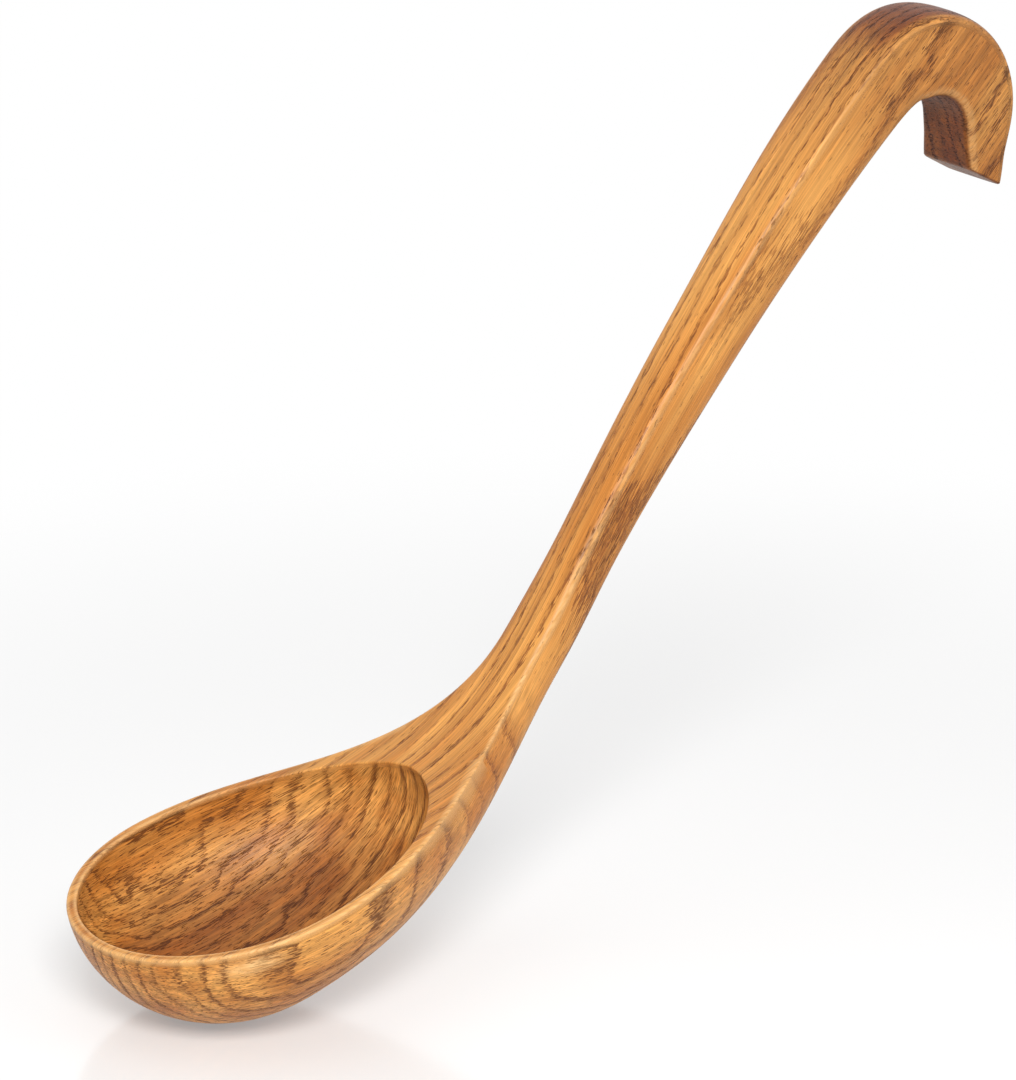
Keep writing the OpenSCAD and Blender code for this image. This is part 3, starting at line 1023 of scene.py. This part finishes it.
@dataclass(frozen=True)
class OiledTeak:
    """Teak, carved, sanded and oiled.

    The plank is quarter sawn, with its pith far to one side, so its rings stand on edge. Their
    early wood holds bands of open pores, which show as short dark dashes along the fibres, so
    that the bands look jagged in the bowl and run as thin dark lines down the handle. Oil deepens
    the honey colour and leaves a soft sheen. Edges are paler, with painted highlight and wear, and
    a painted highlight lies on the bowl's cheeks. Painted shade darkens the hollow towards its
    floor, the hook's inner face and the leg's end, and the hook is darker, with painted shade on
    the top of its crown.
    """

    honey: str = "#dc9c50"
    amber: str = "#b9732e"
    # Pale edges: painted highlight and wear
    pale: str = "#f0bf80"
    band: str = "#94561f"
    line: str = "#7c4216"
    pore: str = "#5f3310"
    # Painted shade
    shade: str = "#a08468"
    # A darker hook, with painted shade on the top of its crown
    darkening_and_shade_tint: str = "#9c7b54"

    # Growth rings: real teak has 2 to 6 mm a year. Ends of its parts are shares of a year
    ring_mm: float = 4.6
    pith_side_mm: float = -75.0
    pith_up_mm: float = -10.0
    early_from: float = 0.08
    early_to: float = 0.45
    line_at: float = 0.06
    line_half: float = 0.055
    weakest_year: float = 0.45
    wander: Cells = Cells(130.0, 24.0, 1.0, reach=12.0)
    ripple: Cells = Cells(12.0, 45.0, 1.0, reach=8.0)
    jag: Cells = Cells(5.0, 0.5, 1.0, reach=2.6)

    # Shares and limits on faces along the fibres and on faces cut across them
    band_share: tuple[float, float] = (0.5, 0.75)
    line_share: tuple[float, float] = (0.7, 0.28)
    pores_late: tuple[float, float] = (0.66, 0.59)
    pores_early: tuple[float, float] = (0.55, 0.44)

    # Pores and fibres: real ones are under 0.3 mm wide, and these are as coarse as shows
    pores: Cells = Cells(3.2, 0.3, 1.0)
    pore_edge: float = 0.04
    fibre: Cells = Cells(22.0, 0.34, reach=0.36)
    streak: Cells = Cells(60.0, 1.7, reach=0.16)
    mottle: Cells = Cells(11.0, 1.1, reach=0.3)
    tone: Cells = Cells(85.0, 9.0, low=0.33, high=0.66)

    # Painted highlight and wear: paler by a share that its strokes vary, with fewer pores left open
    strokes: Cells = Cells(12.0, 0.45, 1.0, turn=0.12, low=0.4, high=0.6)
    stroke_paleness: tuple[float, float] = (0.3, 0.7)
    open_share: tuple[float, float] = (0.8, 0.3)

    roughness: float = 0.42
    pore_roughness: float = 0.2
    ior: float = 1.45
    sheen: float = 0.35
    groove_m: float = 0.00016
    groove_strength: float = 0.8

    def grain(
        self, tree: Tree, place: Socket, cells: Cells
    ) -> Socket:
        """Adds a noise whose cells are drawn out along the fibres.

        Args:
            tree: The material's nodes.
            place: Millimetres, with X along the fibres.
            cells: The noise's cells, which may be turned from the fibres.

        Returns:
            The noise's colour, whose three values are independent.
        """
        turned = add_node(
            tree, "VectorRotate", {"Vector": place, "Angle": cells.turn}, rotation_type="Z_AXIS"
        )
        scale = (1 / cells.along, 1 / cells.across, 1 / cells.across)
        placed = add_node(tree, "Mapping", {"Vector": turned, "Scale": scale})
        noise = add_node(tree, "TexNoise", {"Vector": placed, "Scale": 1.0, "Detail": cells.detail})
        return noise.outputs["Color"]

    def early_wood(
        self, tree: Tree, plank: Socket, flow: Socket,
        cut: Socket,
    ) -> tuple[bpy.types.Node, bpy.types.Node]:
        """Adds the growth rings.

        Args:
            tree: The material's nodes.
            plank: Millimetres along the fibres, across the plank and up.
            flow: Millimetres in the surface's own figure.
            cut: How far the face cuts across the fibres.

        Returns:
            How much early wood there is at a place, from 1 where a ring's dark porous start is
            to 0 in its pale dense end, and how near the thin line between two rings is.
        """
        # The rings wander over centimetres, ripple where a face cuts across the fibres, and have
        # edges that are jagged over a millimetre
        moved = plank
        for cells, place, share in (
            (self.wander, plank, 1.0), (self.ripple, plank, cut), (self.jag, flow, 1.0),
        ):
            noise = self.grain(tree, place, cells)
            reach = (0.0, cells.reach, cells.reach)
            centred = add_node(tree, "VectorMath", {0: noise, 1: (0.5, 0.5, 0.5)}, operation="SUBTRACT")
            scaled = add_node(tree, "VectorMath", {0: centred, "Scale": share}, operation="SCALE")
            moved = add_node(tree, "VectorMath", {0: scaled, 1: reach, 2: moved}, operation="MULTIPLY_ADD")
        pith = (0.0, self.pith_side_mm, self.pith_up_mm)
        away = add_node(tree, "VectorMath", {0: moved, 1: pith}, operation="SUBTRACT")
        flat = add_node(tree, "VectorMath", {0: away, 1: (0.0, 1.0, 1.0)}, operation="MULTIPLY")
        radius = add_node(tree, "VectorMath", {0: flat}, operation="LENGTH").outputs["Value"]
        years = add_node(tree, "Math", {0: radius, 1: self.ring_mm}, operation="DIVIDE")
        part = add_node(tree, "Math", {0: years}, operation="FRACT")
        year = add_node(tree, "Math", {0: years}, operation="FLOOR")
        luck = add_node(tree, "TexWhiteNoise", {"W": year}, noise_dimensions="1D").outputs["Value"]
        strength = add_node(tree, "MapRange", {"Value": luck, "To Min": self.weakest_year})
        onset = add_node(
            tree, "MapRange", {"Value": part, "From Max": self.early_from, "To Max": strength},
            interpolation_type="SMOOTHSTEP",
        )
        fade = add_node(
            tree, "MapRange",
            {
                "Value": part, "From Min": self.early_from, "From Max": self.early_to,
                "To Min": 1.0, "To Max": 0.0,
            },
            interpolation_type="SMOOTHSTEP",
        )
        early = add_node(tree, "Math", {0: onset, 1: fade}, operation="MULTIPLY")
        near = add_node(tree, "Math", {0: part, 1: self.line_at, 2: self.line_half}, operation="COMPARE")
        line = add_node(tree, "Math", {0: near, 1: strength}, operation="MULTIPLY")
        return early, line

    def overlaid(
        self, tree: Tree, colour: Any, layers: tuple[tuple[Any, Any, str, str], ...]
    ) -> Socket:
        """Lays colours over a colour.

        Args:
            tree: The material's nodes.
            colour: The colour under the first layer.
            layers: For each, two shares that are multiplied, its sRGB colour and how it blends.

        Returns:
            The colour on top.
        """
        for first, second, tint, blend in layers:
            share = add_node(tree, "Math", {0: first, 1: second}, operation="MULTIPLY")
            inputs = {0: share, 6: colour, 7: linear(tint)}
            colour = add_node(tree, "Mix", inputs, data_type="RGBA", blend_type=blend).outputs[2]
        return colour

    def material(self) -> bpy.types.Material:
        """Makes the finish.

        Returns:
            The material.
        """
        made = bpy.data.materials.new("oiled_teak")
        tree = fresh_tree(made)
        found = {mark: add_node(tree, "Attribute", attribute_name=mark.value).outputs for mark in Mark}
        plank, flow = (found[mark]["Vector"] for mark in (Mark.PLANK, Mark.FLOW))
        worn, cut = (found[mark]["Fac"] for mark in (Mark.WORN, Mark.CUT))
        early, line = self.early_wood(tree, plank, flow, cut)
        band_share, line_share, late_limit, early_limit, open_share = (
            add_node(tree, "MapRange", {"Value": mark, "To Min": least, "To Max": most})
            for mark, (least, most) in (
                (cut, self.band_share), (cut, self.line_share), (cut, self.pores_late),
                (cut, self.pores_early), (worn, self.open_share),
            )
        )

        # Pores: short dark grooves along the fibres, crowded in the early wood
        limit = add_node(tree, "MapRange", {"Value": early, "To Min": late_limit, "To Max": early_limit})
        limit_end = add_node(tree, "Math", {0: limit, 1: self.pore_edge}, operation="ADD")
        pores = add_node(
            tree, "MapRange",
            {"Value": self.grain(tree, flow, self.pores), "From Min": limit, "From Max": limit_end},
            interpolation_type="SMOOTHSTEP",
        )

        # Wood under them: two tones in wide stripes, early wood and the lines between years
        tone = add_node(
            tree, "MapRange",
            {
                "Value": self.grain(tree, plank, self.tone),
                "From Min": self.tone.low, "From Max": self.tone.high,
            },
            interpolation_type="SMOOTHSTEP",
        )
        colour = self.overlaid(
            tree, linear(self.amber),
            (
                (tone, 1.0, self.honey, "MIX"),
                (early, band_share, self.band, "MIX"),
                (line, line_share, self.line, "MIX"),
            ),
        )
        figure = {cells: self.grain(tree, flow, cells) for cells in (self.fibre, self.streak, self.mottle)}
        for cells, noise in figure.items():
            light = add_node(
                tree, "MapRange",
                {
                    "Value": noise, "From Min": cells.low, "From Max": cells.high,
                    "To Min": 1 - cells.reach, "To Max": 1 + cells.reach,
                },
            )
            lit = add_node(tree, "VectorMath", {0: colour, "Scale": light}, operation="SCALE")
            inputs = {0: cut if cells is self.mottle else 1.0, 6: colour, 7: lit}
            colour = add_node(tree, "Mix", inputs, data_type="RGBA").outputs[2]

        # Painted highlight and wear: paler, and more so in fine strokes that run nearly along the fibres
        paleness = add_node(
            tree, "MapRange",
            {
                "Value": self.grain(tree, flow, self.strokes),
                "From Min": self.strokes.low, "From Max": self.strokes.high,
                "To Min": self.stroke_paleness[0], "To Max": self.stroke_paleness[1],
            },
        )
        colour = self.overlaid(
            tree, colour,
            (
                (worn, paleness, self.pale, "MIX"),
                (pores, open_share, self.pore, "MIX"),
                # Painted shade, then a darker hook with painted shade on the top of its crown
                (found[Mark.SHELTERED]["Fac"], 1.0, self.shade, "MULTIPLY"),
                (found[Mark.HANDLED]["Fac"], 1.0, self.darkening_and_shade_tint, "MULTIPLY"),
            ),
        )

        lift = add_node(tree, "Math", {0: pores, 1: -1.0, 2: figure[self.fibre]}, operation="MULTIPLY_ADD")
        bump = add_node(
            tree, "Bump", {"Height": lift, "Distance": self.groove_m, "Strength": self.groove_strength}
        )
        rough = add_node(
            tree, "Math", {0: pores, 1: self.pore_roughness, 2: self.roughness}, operation="MULTIPLY_ADD"
        )
        shader = add_node(
            tree, "BsdfPrincipled",
            {
                "Base Color": colour, "Roughness": rough, "IOR": self.ior,
                "Specular IOR Level": self.sheen, "Normal": bump,
            },
        )
        add_node(tree, "OutputMaterial", {"Surface": shader})
        return made


@dataclass(frozen=True)
class Lamp:
    """A soft square lamp that looks at the ladle from a side."""

    name: str
    side: tuple[float, float, float]
    distance: float
    size: float
    power: float


@dataclass
class Studio:
    """A pale satin floor, a white surround, soft lamps and the camera.

    The floor is white acrylic sheet, rubbed to a satin: its shadows are soft and it mirrors the
    bowl faintly where it stands.
    """

    aim: tuple[float, float, float] = (-0.01672, 0.0, 0.10985)
    azimuth: float = -37.04
    elevation: float = 18.94
    distance: float = 1.7275
    lens: float = 217.56
    nearest: float = 0.1
    farthest: float = 50.0

    floor_size: float = 12.0
    floor_gap: float = 0.00005
    floor_grey: float = 0.6
    floor_roughness: float = 0.14
    floor_ior: float = 1.6
    white_near: float = 0.35
    white_from: float = 0.15
    white_to: float = 0.42
    world_level: float = 0.4
    lamps: tuple[Lamp, ...] = (
        Lamp("key", (-0.5, -0.68, 0.62), 1.3, 0.5, 15.0),
        Lamp("front", (0.6, -0.7, 0.3), 1.4, 0.8, 2.0),
        Lamp("top", (-0.2, 0.2, 1.0), 1.4, 1.0, 2.0),
    )

    def stand(self, holder: bpy.types.Object, side: Vector, distance: float) -> None:
        """Stands a lamp or the camera off to a side of the ladle, facing it."""
        holder.location = Vector(self.aim) + side * distance
        holder.rotation_mode = "QUATERNION"
        holder.rotation_quaternion = (-side).to_track_quat("-Z", "Y")

    def build_camera(self) -> None:
        """Makes the camera at the photograph's viewing angle and sets it."""
        data = bpy.data.cameras.new("view")
        data.lens = self.lens
        data.clip_start = self.nearest
        data.clip_end = self.farthest
        camera = add_object("view", data)
        a = math.radians(self.azimuth)
        e = math.radians(self.elevation)
        side = Vector((math.sin(a) * math.cos(e), -math.cos(a) * math.cos(e), math.sin(e)))
        self.stand(camera, side, self.distance)
        bpy.context.scene.camera = camera

    def build_lamps(self) -> None:
        """Makes the soft lamps."""
        for lamp in self.lamps:
            data = bpy.data.lights.new(lamp.name, "AREA")
            data.size = lamp.size
            data.energy = lamp.power
            self.stand(add_object(lamp.name, data), Vector(lamp.side).normalized(), lamp.distance)

    def seen(self, tree: Tree) -> Socket:
        """Adds a light path and returns 1 for what the camera, gloss or glass sees."""
        path = add_node(tree, "LightPath")
        total = path.outputs["Is Camera Ray"]
        for name in ("Is Glossy Ray", "Is Transmission Ray"):
            inputs = {0: total, 1: path.outputs[name]}
            total = add_node(tree, "Math", inputs, operation="MAXIMUM").outputs[0]
        return total

    def build_world(self) -> None:
        """Makes a surround that is white to the eye and lights the ladle at a plain level."""
        world = bpy.data.worlds.new("surround")
        tree = fresh_tree(world)
        level = add_node(tree, "MapRange", {"Value": self.seen(tree), "To Min": self.world_level})
        light = add_node(tree, "Background", {"Color": (1.0, 1.0, 1.0, 1.0), "Strength": level})
        add_node(tree, "OutputWorld", {"Surface": light})
        bpy.context.scene.world = world

    def floor_material(self) -> bpy.types.Material:
        """Makes the floor's finish.

        Returns:
            The material.
        """
        made = bpy.data.materials.new("satin_white_acrylic")
        tree = fresh_tree(made)
        # White to the eye, but greyer to the light that it throws back up at the bowl
        seen = self.seen(tree)
        tint = add_node(tree, "MapRange", {"Value": seen, "To Min": self.floor_grey})
        lit = add_node(tree, "BsdfDiffuse", {"Color": tint})
        white = add_node(tree, "Emission", {"Strength": 1.0})
        # The floor keeps its shadow round the ladle and fades to plain white far from it
        place = add_node(tree, "TexCoord").outputs["Object"]
        away = add_node(tree, "VectorMath", {0: place}, operation="LENGTH").outputs["Value"]
        fading = add_node(
            tree, "MapRange",
            {
                "Value": away, "From Min": self.white_from, "From Max": self.white_to,
                "To Min": self.white_near,
            },
            interpolation_type="SMOOTHSTEP",
        )
        share = add_node(tree, "Math", {0: seen, 1: fading}, operation="MULTIPLY")
        base = add_node(tree, "MixShader", {0: share, 1: lit, 2: white})
        gloss = add_node(
            tree, "BsdfGlossy", {"Color": (1.0, 1.0, 1.0, 1.0), "Roughness": self.floor_roughness}
        )
        fresnel = add_node(tree, "Fresnel", {"IOR": self.floor_ior})
        both = add_node(tree, "MixShader", {0: fresnel, 1: base, 2: gloss})
        add_node(tree, "OutputMaterial", {"Surface": both})
        return made

    def build_floor(self) -> None:
        """Makes the pale floor that the bowl stands on."""
        half = self.floor_size / 2
        low = -self.floor_gap
        mesh = bpy.data.meshes.new("floor")
        corners = [(-half, -half, low), (half, -half, low), (half, half, low), (-half, half, low)]
        mesh.from_pydata(corners, [], [(0, 1, 2, 3)])
        floor = add_object("floor", mesh)
        mesh.materials.append(self.floor_material())

    def build(self) -> None:
        """Makes everything round the ladle."""
        self.build_camera()
        self.build_lamps()
        self.build_world()
        self.build_floor()
        bpy.context.scene.view_settings.view_transform = "Standard"


def main() -> None:
    """Builds the ladle and its studio, and reports each piece."""
    logging.basicConfig(level=logging.INFO, format="%(name)s: %(message)s")
    mount = next(m for m in frame["record"]["mounts"] if m["name"] == "hook_seat")
    form = LadleForm(seat_centre=Vector(mount["pos_m"]) / MM, seat_r=mount["dims"]["r_mm"])
    piece = Ladle(form, cad_box).build()
    piece.data.materials.append(OiledTeak().material())
    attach(piece, "root")
    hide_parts("bowl", "handle", "hook")
    log.info("%s: %d points, %d faces", piece.name, len(piece.data.vertices), len(piece.data.polygons))
    Studio().build()
    log.info("studio: floor, %d lamps, camera", len(Studio.lamps))


if __name__ == "__main__":
    main()
